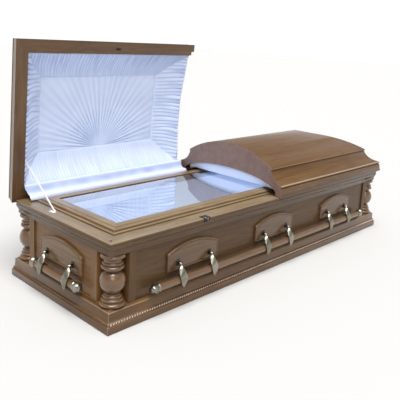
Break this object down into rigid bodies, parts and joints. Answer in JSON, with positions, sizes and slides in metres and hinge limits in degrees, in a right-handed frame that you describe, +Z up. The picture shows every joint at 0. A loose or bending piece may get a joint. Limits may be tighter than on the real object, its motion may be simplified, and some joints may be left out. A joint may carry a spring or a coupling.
{
  "type": "wooden coffin",
  "caption": "Stained wooden casket with hinged half lids, satin lining, inner glass panel, turned corner posts, arched panels and swinging bar handles.",
  "frame": {"origin": "middle of the underside", "axes": "+X along the casket to its foot end, -Y to its front, where the lids open away from, +Z up"},
  "size_m": [2.1472, 0.9375, 1.0784],
  "materials": {
    "wood": "satin lacquered brown stained hardwood",
    "lid_wood": "satin lacquered brown stained hardwood",
    "satin": "shirred white satin over soft padding",
    "glass": "clear polished sheet",
    "antique_brass": "antiqued, pale on the high points",
    "dark_metal": "dark bronze",
    "white_metal": "white enamel"
  },
  "bodies": {
    "casket": {"body_box": "wood", "base_moulding": "wood", "top_rim": "wood", "glass_frame": "wood", "glass_pane": "glass", "body_lining": "satin", "corner_post_head_front": "wood", "corner_post_head_back": "wood", "corner_post_foot_front": "wood", "corner_post_foot_back": "wood", "panel_front_1": "wood", "panel_front_2": "wood", "panel_front_3": "wood", "panel_back_1": "wood", "panel_back_2": "wood", "panel_back_3": "wood", "panel_head": "wood", "panel_foot": "wood", "latch_keeper": "dark_metal", "lid_stay_foot": "white_metal", "lid_apron": "satin"},
    "head_lid": {"head_lid": "lid_wood", "head_lid_lining": "satin", "head_lid_latch": "dark_metal"},
    "foot_lid": {"foot_lid": "lid_wood", "foot_lid_lining": "satin"},
    "lid_stay": {"lid_stay": "white_metal"},
    "handle_front": {"handle_front_bar": "wood", "handle_front_tip_a": "antique_brass", "handle_front_tip_b": "antique_brass", "handle_front_arm_1": "antique_brass", "handle_front_arm_2": "antique_brass", "handle_front_arm_3": "antique_brass", "handle_front_arm_4": "antique_brass", "handle_front_arm_5": "antique_brass", "handle_front_arm_6": "antique_brass"},
    "handle_back": {"handle_back_bar": "wood", "handle_back_tip_a": "antique_brass", "handle_back_tip_b": "antique_brass", "handle_back_arm_1": "antique_brass", "handle_back_arm_2": "antique_brass", "handle_back_arm_3": "antique_brass", "handle_back_arm_4": "antique_brass", "handle_back_arm_5": "antique_brass", "handle_back_arm_6": "antique_brass"},
    "handle_head": {"handle_head_bar": "wood", "handle_head_tip_a": "antique_brass", "handle_head_tip_b": "antique_brass", "handle_head_arm_1": "antique_brass", "handle_head_arm_2": "antique_brass"},
    "handle_foot": {"handle_foot_bar": "wood", "handle_foot_tip_a": "antique_brass", "handle_foot_tip_b": "antique_brass", "handle_foot_arm_1": "antique_brass", "handle_foot_arm_2": "antique_brass"}
  },
  "joints": [
    {"name": "head_lid_hinge", "type": "hinge", "parent": "casket", "child": "head_lid", "pos_m": [-0.5, 0.3535, 0.3615], "axis": [1, 0, 0], "range_deg": [0, 85], "deforming": ["lid_apron"]},
    {"name": "foot_lid_hinge", "type": "hinge", "parent": "casket", "child": "foot_lid", "pos_m": [0.5, 0.3535, 0.3615], "axis": [-1, 0, 0], "range_deg": [0, 85]},
    {"name": "lid_stay_pivot", "type": "hinge", "parent": "head_lid", "child": "lid_stay", "pos_m": [-0.9885, 0.34437, 0.53587], "axis": [-1, 0, 0], "range_deg": [0, 120.13]},
    {"name": "handle_front_swing", "type": "hinge", "parent": "casket", "child": "handle_front", "pos_m": [0, -0.3585, 0.192], "axis": [-1, 0, 0], "range_deg": [0, 75]},
    {"name": "handle_back_swing", "type": "hinge", "parent": "casket", "child": "handle_back", "pos_m": [0, 0.3585, 0.192], "axis": [1, 0, 0], "range_deg": [0, 75]},
    {"name": "handle_head_swing", "type": "hinge", "parent": "casket", "child": "handle_head", "pos_m": [-1.0385, 0, 0.192], "axis": [0, 1, 0], "range_deg": [0, 75]},
    {"name": "handle_foot_swing", "type": "hinge", "parent": "casket", "child": "handle_foot", "pos_m": [1.0385, 0, 0.192], "axis": [0, -1, 0], "range_deg": [0, 75]}
  ],
  "couplings": [
    {"joint": "lid_stay_pivot", "follows": "head_lid_hinge", "ratio": 1.4132}
  ]
}
